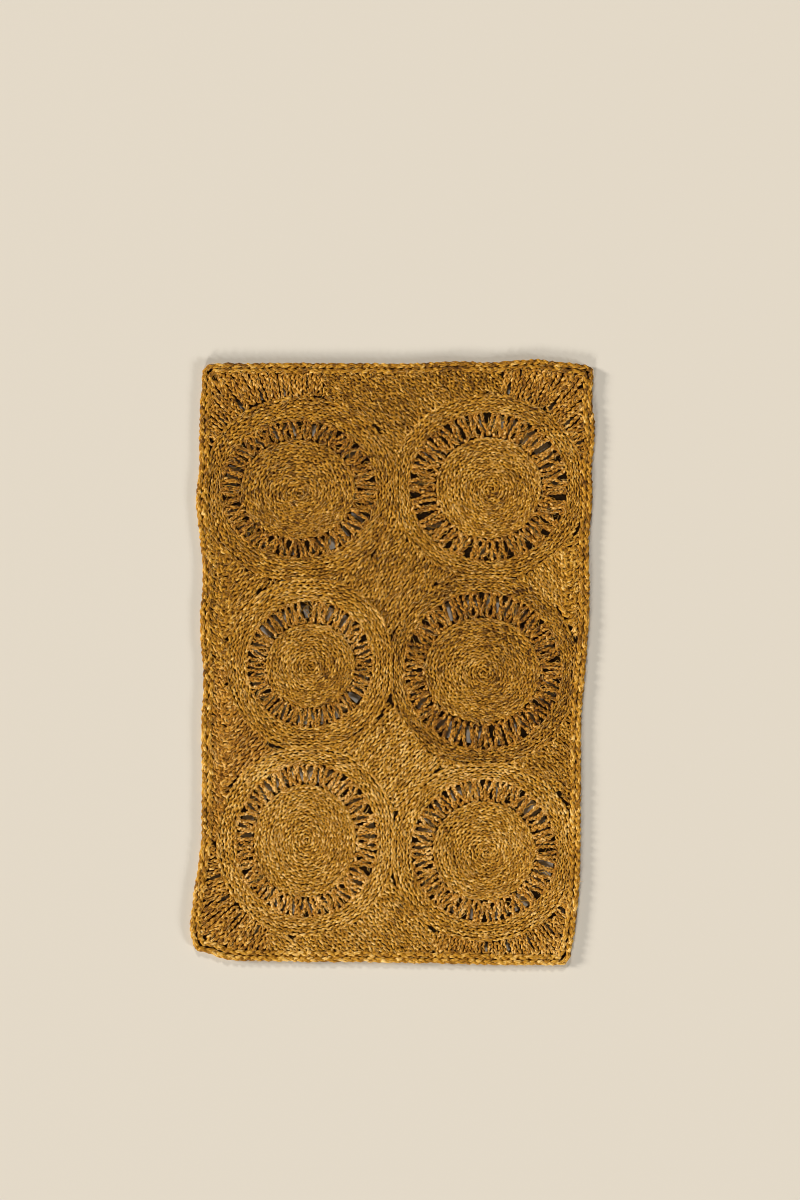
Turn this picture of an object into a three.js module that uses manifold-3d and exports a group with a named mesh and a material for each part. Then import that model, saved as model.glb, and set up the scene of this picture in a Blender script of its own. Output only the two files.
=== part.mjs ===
// Plaited jute rug. Six round medallions, each a coiled disc in a ring of openwork and a hoop of
// plait rows, are sewn together with panels of straight rows, four corner fans and a border.
// Millimetres, +Z up. The rug lies flat on its underside with its long side on Y, and the origin
// is on the floor under its middle.

import * as THREE from 'three';
import * as BufferGeometryUtils from 'three/addons/utils/BufferGeometryUtils.js';
import Module from 'manifold-3d';

const wasm = await Module();
wasm.setup();

// Plait and thickness
const rowPitch = 6.6; // one row of plait, side by side with the next
const ridgeZ = 8; // top of a plait row
const valleyZ = 6.4; // seam between two rows
const edgeZ = 5; // where an outer row turns down to the floor
const pieceGap = 0.3; // between neighbouring pieces
const hoopGap = 0.9; // between a hoop's corners and the border, so that its straight sides clear it
const panelRibPitch = 2 * rowPitch; // a panel's raised ribs, each a pair of rows
const fanRibPitch = 17; // legs of the zigzag plait in a corner fan

// Rug outline
const halfLength = 465;
const halfWidth = 310;
const borderWidth = 16;
const stationPoints = 1.6; // points on the outline for each station of a side
const cornerPoints = 4; // steps round a corner
const borderProfile = [
  { inset: 0, z: edgeZ },
  { inset: 4, z: ridgeZ },
  { inset: 8, z: valleyZ },
  { inset: 12, z: ridgeZ },
  { inset: borderWidth, z: edgeZ },
];

// How far the rug reaches to its left and right, at stations along its length
const sideStations = [
  { y: 446, left: -301, right: 309.5 },
  { y: 400, left: -304, right: 306 },
  { y: 355, left: -305, right: 310 },
  { y: 300, left: -304, right: 305 },
  { y: 245, left: -309, right: 304.5 },
  { y: 180, left: -301, right: 299 },
  { y: 120, left: -297, right: 298.5 },
  { y: 50, left: -300, right: 297 },
  { y: -35, left: -294, right: 289 },
  { y: -110, left: -296, right: 283 },
  { y: -205, left: -294, right: 282 },
  { y: -290, left: -295, right: 280 },
  { y: -350, left: -303, right: 278 },
  { y: -412, left: -309.5, right: 271 },
  { y: -440, left: -304, right: 265 },
];

// How far it reaches towards its two ends, at stations across its width. The bottom end is drawn
// in, so it has no point at the last station.
const endStations = [
  { x: -285, top: 458.5, bottom: -446 },
  { x: -250, top: 459, bottom: -457 },
  { x: -170, top: 459, bottom: -459 },
  { x: -71, top: 459, bottom: -460 },
  { x: 10, top: 458, bottom: -461 },
  { x: 90, top: 461.5, bottom: -462.5 },
  { x: 150, top: 460, bottom: -464 },
  { x: 215, top: 465, bottom: -465 },
  { x: 253, top: 461, bottom: -464.5 },
  { x: 297, top: 457 },
];

// Lines where neighbouring hoops are sewn to each other
const seamX = { top: 0.8, middle: -6.2, bottom: -3 };
const seamY = { leftUpper: 119.5, leftLower: -139.3, rightUpper: 122.6, rightLower: -165 };

// Medallions. Sizes are half widths on X and Y, and the disc may sit off the ring's centre.
// Wide slots are gaps where the openwork has opened up, as angles counter-clockwise from +X.
const medallions = [
  {
    node: 'medallion_top_left', x: -149, y: 260, discShift: [-2, 0], disc: [88, 77],
    ring: [122, 110], hoop: [152, 143], wideSlots: [215, 300],
    meets: { x: seamX.top, y: [seamY.leftUpper] },
  },
  {
    node: 'medallion_top_right', x: 144, y: 264, discShift: [0, -2], disc: [81, 79],
    ring: [125, 119], hoop: [149, 143], wideSlots: [36, 50, 219],
    meets: { x: seamX.top, y: [seamY.rightUpper] },
  },
  {
    node: 'medallion_middle_left', x: -131, y: -11, discShift: [1, -2], disc: [68, 64],
    ring: [99, 100], hoop: [128, 132], wideSlots: [50, 72, 97, 146, 326],
    meets: { x: seamX.middle, y: [seamY.leftUpper, seamY.leftLower] },
  },
  {
    node: 'medallion_middle_right', x: 134, y: -21, discShift: [-1, 1], disc: [88, 80],
    ring: [123, 123], hoop: [144, 147], wideSlots: [118, 205, 262],
    meets: { x: seamX.middle, y: [seamY.rightUpper, seamY.rightLower] },
  },
  {
    node: 'medallion_bottom_left', x: -134, y: -278, discShift: [-3, -1], disc: [77, 84],
    ring: [110, 118], hoop: [135, 142], wideSlots: [83, 160],
    meets: { x: seamX.bottom, y: [seamY.leftLower] },
  },
  {
    node: 'medallion_bottom_right', x: 134, y: -294, discShift: [0, 0], disc: [77, 74],
    ring: [113, 110], hoop: [140, 133], wideSlots: [48, 309, 339, 349],
    meets: { x: seamX.bottom, y: [seamY.rightLower] },
  },
];
const slotCount = 44; // slots in each ring of openwork
const slotPart = { from: 0.2, to: 0.78 }; // where a slot starts and ends across its ring
const slotWidth = 6; // across a common slot, at the middle of its length
const wideSlotFactor = 1.45;
const hoopRows = 3;
const hoopSides = 32;
const discSides = { first: 6, last: 20 }; // points to a turn, at the centre and at the edge

// Infill between the hoops and the border. A cell is the box that a panel is cut to, and it stops
// where the space between two hoops, or a hoop and the border, narrows to about 3 mm. The rows run
// at the given angle, and where a panel has a fold they turn there to the inner angle.
const panels = [
  { node: 'panel_top', cell: { x: [-110, 165], y: [299, 450] }, rows: 142 },
  { node: 'panel_bottom', cell: { x: [-190, 58], y: [-455, -322] }, rows: 140 },
  { node: 'panel_upper_diamond', cell: { x: [-104, 102], y: [22, 225] }, rows: 57 },
  { node: 'panel_lower_diamond', cell: { x: [-95, 97], y: [-248, -52] }, rows: 45 },
  {
    node: 'panel_left_upper', cell: { x: [-300, -176], y: [-10, 193] },
    rows: 130, fold: -262, inner: 50,
  },
  {
    node: 'panel_left_lower', cell: { x: [-300, -168], y: [-278, -10.3] },
    rows: 130, fold: -258, inner: 48,
  },
  {
    node: 'panel_right_upper', cell: { x: [175, 300], y: [12, 209] },
    rows: 52, fold: 266, inner: 125,
  },
  { node: 'panel_right_lower', cell: { x: [172, 300], y: [-240, -80] }, rows: 140 },
];

// Corner fans. The legs of the plait spread from the medallion, about its angle, and small gaps
// stay open between them.
const fans = [
  { node: 'corner_top_left', medallion: 0, cell: { x: [-300, -110.3], y: [325, 450] }, facing: 125 },
  { node: 'corner_top_right', medallion: 1, cell: { x: [165.3, 300], y: [307, 450] }, facing: 52 },
  { node: 'corner_bottom_left', medallion: 4, cell: { x: [-300, -190.3], y: [-455, -278.3] }, facing: 228 },
  { node: 'corner_bottom_right', medallion: 5, cell: { x: [58.3, 300], y: [-455, -356] }, facing: 297 },
];
const fanSpread = 130; // degrees that a fan's legs cover before it is cut to its cell
const fanReach = { near: 100, far: 330 }; // from the medallion's middle, before that cut
const fanMiddle = 170; // where the legs have their stated pitch
const fanGaps = [-26, -13, 0, 13, 26]; // degrees either side of where the fan faces
const fanGap = { clear: 7, length: 15, width: 6, outerWidth: 3.6 }; // clear is off the hoop

// A small repeatable unevenness between -1 and 1
function uneven(step, seed) {
  const value = Math.sin(step * 12.9898 + seed * 78.233) * 43758.5453;
  return 2 * (value - Math.floor(value)) - 1;
}

// Gathers points and faces into one closed body
class Body {
  constructor() {
    this.points = [];
    this.faces = [];
  }

  point(x, y, z) {
    this.points.push(x, y, z);
    return this.points.length / 3 - 1;
  }

  face(a, b, c, down = false) {
    if (down) this.faces.push(a, c, b);
    else this.faces.push(a, b, c);
  }

  // Fills the strip between two lines of points that run side by side, the outer on the right
  strip(inner, outer, down = false) {
    let i = 0;
    let j = 0;
    while (i < inner.length - 1 || j < outer.length - 1) {
      const innerNext = i < inner.length - 1 ? inner[i + 1].at : Infinity;
      const outerNext = j < outer.length - 1 ? outer[j + 1].at : Infinity;
      if (innerNext < outerNext) {
        this.face(inner[i].id, outer[j].id, inner[i + 1].id, down);
        i += 1;
      } else {
        this.face(inner[i].id, outer[j].id, outer[j + 1].id, down);
        j += 1;
      }
    }
  }

  // Stands a wall on a line that has the body on its left
  wall(bottom, top) {
    for (let i = 0; i < bottom.length - 1; i += 1) {
      this.face(bottom[i].id, bottom[i + 1].id, top[i + 1].id);
      this.face(bottom[i].id, top[i + 1].id, top[i].id);
    }
  }

  geometry() {
    const geometry = new THREE.BufferGeometry();
    geometry.setAttribute('position', new THREE.Float32BufferAttribute(this.points, 3));
    geometry.setIndex(this.faces);
    geometry.computeVertexNormals();
    return geometry;
  }
}

// A ring of points, closed by its first point again
function closed(ring) {
  return [...ring, { id: ring[0].id, at: ring[0].at + 2 * Math.PI }];
}

function toSolid(geometry) {
  const bare = geometry.clone();
  bare.deleteAttribute('normal');
  bare.deleteAttribute('uv');
  const merged = BufferGeometryUtils.mergeVertices(bare);
  return new wasm.Manifold(new wasm.Mesh({
    numProp: 3,
    vertProperties: new Float32Array(merged.attributes.position.array),
    triVerts: new Uint32Array(merged.index.array),
  }));
}

function toGeometry(solid) {
  const mesh = solid.getMesh();
  const geometry = new THREE.BufferGeometry();
  geometry.setAttribute('position', new THREE.BufferAttribute(mesh.vertProperties, 3));
  geometry.setIndex(new THREE.BufferAttribute(mesh.triVerts, 1));
  geometry.computeVertexNormals();
  return geometry;
}

// The rug's outline, drawn in by an inset on every side, counter-clockwise
function rugLine(inset) {
  const length = 1 - inset / halfLength;
  const width = 1 - inset / halfWidth;
  const left = sideStations.map((row) => new THREE.Vector2(row.left + inset, row.y * length));
  const right = sideStations.map((row) => new THREE.Vector2(row.right - inset, row.y * length));
  const top = endStations.map((row) => new THREE.Vector2(row.x * width, row.top - inset));
  const bottom = endStations
    .filter((row) => row.bottom !== undefined)
    .map((row) => new THREE.Vector2(row.x * width, row.bottom + inset));
  const sides = [left, bottom, right.reverse(), top.reverse()];
  const line = [];
  sides.forEach((side, index) => {
    const next = sides[(index + 1) % sides.length];
    const from = side[side.length - 1];
    const to = next[0];
    const alongY = index % 2 === 0;
    const corner = alongY ? new THREE.Vector2(from.x, to.y) : new THREE.Vector2(to.x, from.y);
    const bend = new THREE.QuadraticBezierCurve(from, corner, to);
    line.push(...new THREE.SplineCurve(side).getPoints(Math.round(stationPoints * side.length)));
    line.push(...bend.getPoints(cornerPoints).slice(1, -1));
  });
  return line;
}

function extruded(line, height) {
  return new THREE.ExtrudeGeometry(new THREE.Shape(line), { depth: height, bevelEnabled: false });
}

function box(cell, height) {
  const [west, east] = cell.x;
  const [south, north] = cell.y;
  const geometry = new THREE.BoxGeometry(east - west, north - south, 2 * height);
  geometry.translate((west + east) / 2, (south + north) / 2, 0);
  return geometry;
}

function border() {
  const body = new Body();
  const ring = (inset, z) => closed(rugLine(inset).map((spot, index) => (
    { id: body.point(spot.x, spot.y, z), at: index })));
  const top = borderProfile.map((row) => ring(row.inset, row.z)).reverse();
  const under = [ring(borderWidth, 0), ring(0, 0)];
  for (let i = 0; i < top.length - 1; i += 1) body.strip(top[i], top[i + 1]);
  body.strip(under[0], under[1], true);
  body.wall(under[1], top[top.length - 1]);
  body.wall([...under[0]].reverse(), [...top[0]].reverse());
  return body.geometry();
}

// Where a ray from a point first meets a closed line
function reach(from, direction, line) {
  let nearest = Infinity;
  line.forEach((start, index) => {
    const side = line[(index + 1) % line.length].clone().sub(start);
    const across = direction.cross(side);
    const offset = start.clone().sub(from);
    const along = offset.cross(side) / across;
    const share = offset.cross(direction) / across;
    if (along > 0 && share >= 0 && share <= 1) nearest = Math.min(nearest, along);
  });
  return nearest;
}

const borderInside = rugLine(borderWidth + pieceGap);
const hoopLimit = rugLine(borderWidth + hoopGap);

// The outer line of a hoop: an ellipse, pressed flat where it meets the border or another hoop
function hoopLine(medallion, grow = 0) {
  const centre = new THREE.Vector2(medallion.x, medallion.y);
  const [halfX, halfY] = medallion.hoop;
  const half = pieceGap / 2;
  const line = [];
  for (let i = 0; i < hoopSides; i += 1) {
    const turn = (2 * Math.PI * i) / hoopSides;
    const direction = new THREE.Vector2(Math.cos(turn), Math.sin(turn));
    const limits = [1 / Math.hypot(direction.x / halfX, direction.y / halfY)];
    limits.push(reach(centre, direction, hoopLimit));
    const toSeamX = (Math.abs(medallion.meets.x - centre.x) - half) / Math.abs(direction.x);
    if (direction.x * (medallion.meets.x - centre.x) > 0) limits.push(toSeamX);
    for (const seam of medallion.meets.y) {
      const toSeamY = (Math.abs(seam - centre.y) - half) / Math.abs(direction.y);
      if (direction.y * (seam - centre.y) > 0) limits.push(toSeamY);
    }
    line.push(centre.clone().addScaledVector(direction, Math.min(...limits) + grow));
  }
  return line;
}

// A disc wound as a spiral of plait, ending on a ring of points at its edge
function windDisc(body, medallion, edgeSides) {
  const [discX, discY] = medallion.disc;
  const centreX = medallion.x + medallion.discShift[0];
  const centreY = medallion.y + medallion.discShift[1];
  const turns = Math.round((discX + discY) / 2 / rowPitch) - 1;
  const spot = (radius, turn, z) => body.point(
    centreX + radius * discX * Math.cos(turn),
    centreY + radius * discY * Math.sin(turn),
    z,
  );
  const valley = [];
  const ridge = [];
  for (let turn = 0; turn <= turns; turn += 1) {
    const grown = (discSides.last - discSides.first) * (turn / turns);
    const sides = discSides.first + Math.round(grown);
    for (let side = 0; side < (turn === turns ? 1 : sides); side += 1) {
      const wound = turn + side / sides;
      const at = 2 * Math.PI * wound;
      valley.push({ id: spot(wound / (turns + 1), at, wound ? valleyZ : ridgeZ), at, turn });
      ridge.push({ id: spot((wound + 0.5) / (turns + 1), at, ridgeZ), at, turn });
    }
  }
  const firstTurn = valley.filter((row) => row.turn < 1).length;
  body.strip(valley, ridge);
  const ridgeInside = ridge.filter((row) => row.turn < turns - 1);
  ridgeInside.push(ridge.find((row) => row.turn === turns - 1));
  const next = valley.slice(firstTurn).map((row) => ({ id: row.id, at: row.at - 2 * Math.PI }));
  body.strip(ridgeInside, next);
  for (let i = 1; i < firstTurn; i += 1) {
    body.face(valley[0].id, valley[i].id, valley[i + 1].id);
  }
  // The last fan triangle is split at the start of the ridge, which lies on its side
  body.faces.splice(-3);
  body.face(valley[0].id, valley[firstTurn - 1].id, ridge[0].id);
  body.face(ridge[0].id, valley[firstTurn - 1].id, valley[firstTurn].id);

  const full = 2 * Math.PI * (turns - 1);
  const rim = ridge.filter((row) => row.turn >= turns - 1).map((row) => (
    { id: row.id, at: row.at - full }));
  rim.push({ id: valley[valley.length - 1].id, at: 2 * Math.PI });
  rim.push({ id: rim[0].id, at: 2 * Math.PI });
  const edge = [];
  for (let side = 0; side < edgeSides; side += 1) {
    const at = (2 * Math.PI * side) / edgeSides;
    edge.push({ id: spot(1, at, valleyZ), at });
  }
  body.strip(rim, closed(edge));
  return closed(edge);
}

function medallion(row, seed) {
  const body = new Body();
  const outer = hoopLine(row);

  // A point on the ring of openwork, from its inner edge at 0 to its outer edge at 1
  const onRing = (turn, share, z) => {
    const ease = (inner, full) => inner + (full - inner) * share;
    const halfX = ease(row.disc[0], row.ring[0]);
    const halfY = ease(row.disc[1], row.ring[1]);
    const midX = row.x + row.discShift[0] * (1 - share);
    const midY = row.y + row.discShift[1] * (1 - share);
    return body.point(midX + halfX * Math.cos(turn), midY + halfY * Math.sin(turn), z);
  };

  const discEdge = windDisc(body, row, discSides.last);

  const midRadius = (row.disc[0] + row.disc[1] + row.ring[0] + row.ring[1]) / 4;
  const step = (2 * Math.PI) / slotCount;
  const slots = [];
  for (let i = 0; i < slotCount; i += 1) {
    const middle = (i + 0.5 + 0.12 * uneven(i, seed)) * step;
    const degrees = THREE.MathUtils.radToDeg(middle);
    const isWide = row.wideSlots.some((angle) => (
      Math.abs(angle - degrees) < 180 / slotCount));
    const width = slotWidth * (isWide ? wideSlotFactor : 1 + 0.18 * uneven(i, seed + 1));
    const half = width / 2 / midRadius;
    const lean = (i % 2 ? 0.13 : -0.13) * step * (1 + 0.5 * uneven(i, seed + 2));
    const taper = 0.3 * uneven(i, seed + 3);
    const from = slotPart.from + 0.06 * uneven(i, seed + 4);
    const to = slotPart.to + 0.07 * uneven(i, seed + 5);
    const corner = (side, share) => {
      const end = share === to ? 1 : -1;
      const at = middle + end * lean + side * half * (1 + end * taper);
      return { at, top: onRing(at, share, valleyZ), under: onRing(at, share, 0) };
    };
    slots.push([corner(-1, from), corner(-1, to), corner(1, to), corner(1, from)]);
  }

  const line = (level, corners) => slots.flatMap((slot) => (
    corners.map((index) => ({ id: slot[index][level], at: slot[index].at }))));
  const slotInner = closed(line('top', [0, 3]));
  const slotOuter = closed(line('top', [1, 2]));
  body.strip(discEdge, slotInner);

  const hoopRings = [];
  for (let i = 0; i <= 2 * hoopRows; i += 1) {
    const share = i / (2 * hoopRows);
    const z = i === 2 * hoopRows ? edgeZ : (i % 2 ? ridgeZ : valleyZ);
    hoopRings.push(closed(outer.map((end, index) => {
      const turn = (2 * Math.PI * index) / hoopSides;
      const start = new THREE.Vector2(
        row.x + row.ring[0] * Math.cos(turn),
        row.y + row.ring[1] * Math.sin(turn),
      );
      const spot = start.lerp(end, share);
      return { id: body.point(spot.x, spot.y, z), at: turn };
    })));
  }
  body.strip(slotOuter, hoopRings[0]);
  for (let i = 0; i < 2 * hoopRows; i += 1) body.strip(hoopRings[i], hoopRings[i + 1]);

  const underRim = closed(outer.map((spot, index) => (
    { id: body.point(spot.x, spot.y, 0), at: (2 * Math.PI * index) / hoopSides })));
  const underInner = closed(line('under', [0, 3]));
  body.strip(closed(line('under', [1, 2])), underRim, true);
  body.wall(underRim, hoopRings[2 * hoopRows]);
  const underMiddle = body.point(row.x, row.y, 0);
  for (let i = 0; i < underInner.length - 1; i += 1) {
    body.face(underMiddle, underInner[i].id, underInner[i + 1].id, true);
  }

  slots.forEach((slot, index) => {
    const around = [...slot, slot[0]].reverse();
    body.wall(around.map((spot) => ({ id: spot.under })), around.map((spot) => ({ id: spot.top })));
    // The leg of plait between this slot and the next, raised along its middle
    const after = slots[(index + 1) % slotCount];
    const leg = [slot[3], slot[2], after[1], after[0]];
    const lastAt = index === slotCount - 1 ? 2 * Math.PI : 0;
    const crown = onRing((slot[3].at + after[0].at + lastAt) / 2, 0.5, ridgeZ);
    leg.forEach((spot, side) => {
      body.face(crown, spot.top, leg[(side + 1) % leg.length].top);
    });
    body.face(leg[0].under, leg[1].under, leg[2].under, true);
    body.face(leg[0].under, leg[2].under, leg[3].under, true);
  });
  return body.geometry();
}

// A slab with straight raised ribs at an angle, wide enough for any panel
function ribbedSlab(cell, degrees) {
  const reachOut = Math.hypot(cell.x[1] - cell.x[0], cell.y[1] - cell.y[0]) / 2;
  const ribs = Math.ceil(reachOut / panelRibPitch);
  const profile = new THREE.Shape();
  profile.moveTo(-ribs * panelRibPitch, 0);
  profile.lineTo(ribs * panelRibPitch, 0);
  for (let i = 2 * ribs; i >= -2 * ribs; i -= 1) {
    profile.lineTo((i * panelRibPitch) / 2, i % 2 ? ridgeZ : valleyZ);
  }
  const slab = new THREE.ExtrudeGeometry(profile, { depth: 2 * reachOut, bevelEnabled: false });
  slab.translate(0, 0, -reachOut);
  slab.rotateX(Math.PI / 2);
  slab.rotateZ(THREE.MathUtils.degToRad(degrees + 90));
  slab.translate((cell.x[0] + cell.x[1]) / 2, (cell.y[0] + cell.y[1]) / 2, 0);
  return slab;
}

// All that the border leaves inside it, less the hoops
function infillRegion() {
  let region = toSolid(extruded(borderInside, 2 * ridgeZ));
  for (const row of medallions) {
    const hoop = extruded(hoopLine(row, pieceGap), 4 * ridgeZ);
    hoop.translate(0, 0, -ridgeZ);
    region = region.subtract(toSolid(hoop));
  }
  return region;
}

function panel(row, region) {
  const space = region.intersect(toSolid(box(row.cell, 2 * ridgeZ)));
  if (row.fold === undefined) {
    return toGeometry(space.intersect(toSolid(ribbedSlab(row.cell, row.rows))));
  }
  const sideOf = (from, to, degrees) => {
    const part = { x: [from, to], y: row.cell.y };
    return space
      .intersect(toSolid(box(part, 2 * ridgeZ)))
      .intersect(toSolid(ribbedSlab(row.cell, degrees)));
  };
  const [west, east] = row.cell.x;
  const outside = row.fold < 0 ? [west, row.fold] : [row.fold, east];
  const inside = row.fold < 0 ? [row.fold, east] : [west, row.fold];
  return toGeometry(sideOf(...outside, row.rows).add(sideOf(...inside, row.inner)));
}

// A slab whose raised legs spread from the middle of a medallion
function fannedSlab(row) {
  const hub = medallions[row.medallion];
  const legs = Math.round((THREE.MathUtils.degToRad(fanSpread) * fanMiddle) / fanRibPitch);
  const body = new Body();
  const lines = { nearTop: [], farTop: [], nearUnder: [], farUnder: [] };
  for (let i = 0; i <= 2 * legs; i += 1) {
    const degrees = row.facing + fanSpread * (i / (2 * legs) - 0.5);
    const at = THREE.MathUtils.degToRad(degrees);
    const spot = (radius, z) => (
      { at, id: body.point(hub.x + radius * Math.cos(at), hub.y + radius * Math.sin(at), z) });
    const z = i % 2 ? ridgeZ : valleyZ;
    lines.nearTop.push(spot(fanReach.near, z));
    lines.farTop.push(spot(fanReach.far, z));
    lines.nearUnder.push(spot(fanReach.near, 0));
    lines.farUnder.push(spot(fanReach.far, 0));
  }
  body.strip(lines.nearTop, lines.farTop);
  body.strip(lines.nearUnder, lines.farUnder, true);
  body.wall(lines.farUnder, lines.farTop);
  body.wall([...lines.nearUnder].reverse(), [...lines.nearTop].reverse());
  const last = 2 * legs;
  body.wall([lines.nearUnder[0], lines.farUnder[0]], [lines.nearTop[0], lines.farTop[0]]);
  body.wall([lines.farUnder[last], lines.nearUnder[last]], [lines.farTop[last], lines.nearTop[last]]);
  return body.geometry();
}

// A small gap between two legs of a fan, narrower at its outer end
function fanGapCutter(row, degrees, index) {
  const hub = medallions[row.medallion];
  const turn = THREE.MathUtils.degToRad(row.facing + degrees);
  const direction = new THREE.Vector2(Math.cos(turn), Math.sin(turn));
  const hoopEdge = reach(new THREE.Vector2(hub.x, hub.y), direction, hoopLine(hub));
  const from = hoopEdge + fanGap.clear + uneven(index, row.medallion);
  const to = from + fanGap.length + 2 * uneven(index, row.medallion + 7);
  const gap = new THREE.Shape();
  gap.moveTo(from, -fanGap.width / 2);
  gap.lineTo(to, -fanGap.outerWidth / 2);
  gap.lineTo(to, fanGap.outerWidth / 2);
  gap.lineTo(from, fanGap.width / 2);
  const cutter = new THREE.ExtrudeGeometry(gap, { depth: 4 * ridgeZ, bevelEnabled: false });
  cutter.translate(0, 0, -ridgeZ);
  cutter.rotateZ(turn);
  cutter.translate(hub.x, hub.y, 0);
  return toSolid(cutter);
}

function cornerFan(row, region) {
  let solid = region
    .intersect(toSolid(box(row.cell, 2 * ridgeZ)))
    .intersect(toSolid(fannedSlab(row)));
  fanGaps.forEach((degrees, index) => {
    solid = solid.subtract(fanGapCutter(row, degrees, index));
  });
  return toGeometry(solid);
}

// Jute in the shades that the pieces were plaited from
const jute = {
  medallion: 0x966826,
  panel: 0x9d6e28,
  corner: 0x9a6a24,
  border: 0xa2712a,
};

const rug = new THREE.Group();

function addPiece(name, geometry, colour) {
  const material = new THREE.MeshStandardMaterial({ color: colour, roughness: 0.9, metalness: 0 });
  const mesh = new THREE.Mesh(geometry, material);
  mesh.name = name;
  rug.add(mesh);
}

medallions.forEach((row, index) => {
  addPiece(row.node, medallion(row, index + 1), jute.medallion);
});
const region = infillRegion();
for (const row of panels) addPiece(row.node, panel(row, region), jute.panel);
for (const row of fans) addPiece(row.node, cornerFan(row, region), jute.corner);
addPiece('border', border(), jute.border);

export default rug;
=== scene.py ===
import math

import bpy
import numpy as np
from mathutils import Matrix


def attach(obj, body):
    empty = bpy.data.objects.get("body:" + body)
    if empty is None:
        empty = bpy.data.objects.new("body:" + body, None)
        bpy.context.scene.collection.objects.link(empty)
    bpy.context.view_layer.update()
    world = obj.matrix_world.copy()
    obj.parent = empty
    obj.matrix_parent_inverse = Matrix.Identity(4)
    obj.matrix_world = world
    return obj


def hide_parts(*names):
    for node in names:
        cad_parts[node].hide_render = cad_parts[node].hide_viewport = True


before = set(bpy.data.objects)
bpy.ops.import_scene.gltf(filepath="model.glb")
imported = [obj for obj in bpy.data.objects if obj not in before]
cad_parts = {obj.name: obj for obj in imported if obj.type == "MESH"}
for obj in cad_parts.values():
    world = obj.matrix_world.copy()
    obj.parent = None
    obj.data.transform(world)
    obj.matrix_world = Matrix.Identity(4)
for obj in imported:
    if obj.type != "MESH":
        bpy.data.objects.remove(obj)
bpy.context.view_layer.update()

mm = 0.001  # the sizes below are in millimetres, and Blender's are in metres

# The camera looks at the rug's face a few degrees off square, from its bottom end
cameraView = {"aim": (6.95, 87.8), "distance": 2567, "offSquare": 6, "lens": 50, "sensor": 36}


def addObject(name, data):
    thing = bpy.data.objects.new(name, data)
    bpy.context.scene.collection.objects.link(thing)
    return thing


def placeCamera():
    data = bpy.data.cameras.new("camera")
    data.lens = cameraView["lens"]
    data.sensor_width = cameraView["sensor"]
    data.clip_end = 20
    camera = addObject("camera", data)
    tilt = math.radians(cameraView["offSquare"])
    away = cameraView["distance"] * mm
    aimX, aimY = cameraView["aim"]
    camera.location = (aimX * mm, aimY * mm - away * math.sin(tilt), away * math.cos(tilt))
    camera.rotation_euler = (tilt, 0, 0)
    bpy.context.scene.camera = camera


placeCamera()
print("camera placed")


# Lines. A line is rows of x, y and the width of the plait that follows it.

def uneven(step, seed):
    # A small repeatable unevenness between -1 and 1
    value = np.sin(np.asarray(step) * 12.9898 + seed * 78.233) * 43758.5453
    return 2 * (value - np.floor(value)) - 1


def throughPoints(points, closed=False, perSpan=8):
    points = np.asarray(points, float)
    if closed:
        padded = np.vstack([points[-1:], points, points[:2]])
    else:
        padded = np.vstack([points[:1], points, points[-1:]])
    before, start, end, after = padded[:-3], padded[1:-2], padded[2:-1], padded[3:]
    t = np.linspace(0, 1, perSpan, endpoint=False).reshape(-1, 1, 1)
    curve = 0.5 * (
        2 * start
        + (end - before) * t
        + (2 * before - 5 * start + 4 * end - after) * t**2
        + (3 * start - before - 3 * end + after) * t**3
    )
    curve = curve.transpose(1, 0, 2).reshape(-1, points.shape[1])
    return curve if closed else np.vstack([curve, points[-1:]])


def evenSteps(line, step, closed=False):
    # The same line with points an even distance apart, and its length
    if closed:
        line = np.vstack([line, line[:1]])
    along = np.concatenate([[0], np.cumsum(np.hypot(*np.diff(line[:, :2], axis=0).T))])
    count = max(4, round(along[-1] / step))
    at = np.linspace(0, along[-1], count + 1)
    if closed:
        at = at[:-1]
    return np.stack([np.interp(at, along, column) for column in line.T], axis=1), along[-1]


def roundLine(centre, radius, angle, width):
    # A line at a distance from a point, where rays at the angles meet it
    x, y = centre[0] + radius * np.cos(angle), centre[1] + radius * np.sin(angle)
    return np.stack([x, y, width], axis=1)


# The rug's outline: how far it reaches to its sides and ends, at stations along each
rugOutline = {
    "halfLength": 465,
    "halfWidth": 310,
    "cornerSteps": 6,
    "sides": [  # y, left, right
        (446, -301, 309.5), (400, -304, 306), (355, -305, 310), (300, -304, 305),
        (245, -309, 304.5), (180, -301, 299), (120, -297, 298.5), (50, -300, 297),
        (-35, -294, 289), (-110, -296, 283), (-205, -294, 282), (-290, -295, 280),
        (-350, -303, 278), (-412, -309.5, 271), (-440, -304, 265),
    ],
    "ends": [  # x, top, bottom
        (-285, 458.5, -446), (-250, 459, -457), (-170, 459, -459), (-71, 459, -460),
        (10, 458, -461), (90, 461.5, -462.5), (150, 460, -464), (215, 465, -465),
        (253, 461, -464.5), (297, 457, None),
    ],
}


def rugLine(inset):
    # The outline drawn in by an inset on every side, counter-clockwise from the top left
    length = 1 - inset / rugOutline["halfLength"]
    width = 1 - inset / rugOutline["halfWidth"]
    left = [(west + inset, y * length) for y, west, east in rugOutline["sides"]]
    right = [(east - inset, y * length) for y, west, east in rugOutline["sides"]]
    top = [(x * width, north - inset) for x, north, south in rugOutline["ends"]]
    bottom = [(x * width, south + inset) for x, north, south in rugOutline["ends"] if south]
    sides = [left, bottom, right[::-1], top[::-1]]
    line = []
    for index, side in enumerate(sides):
        start, end = side[-1], sides[(index + 1) % 4][0]
        corner = (start[0], end[1]) if index % 2 == 0 else (end[0], start[1])
        line.extend(throughPoints(side, perSpan=4))
        for step in range(1, rugOutline["cornerSteps"]):
            t = step / rugOutline["cornerSteps"]
            bend = [(1 - t) ** 2 * a + 2 * t * (1 - t) * b + t**2 * c
                    for a, b, c in zip(start, corner, end)]
            line.append(bend)
    return np.array(line)


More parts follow.
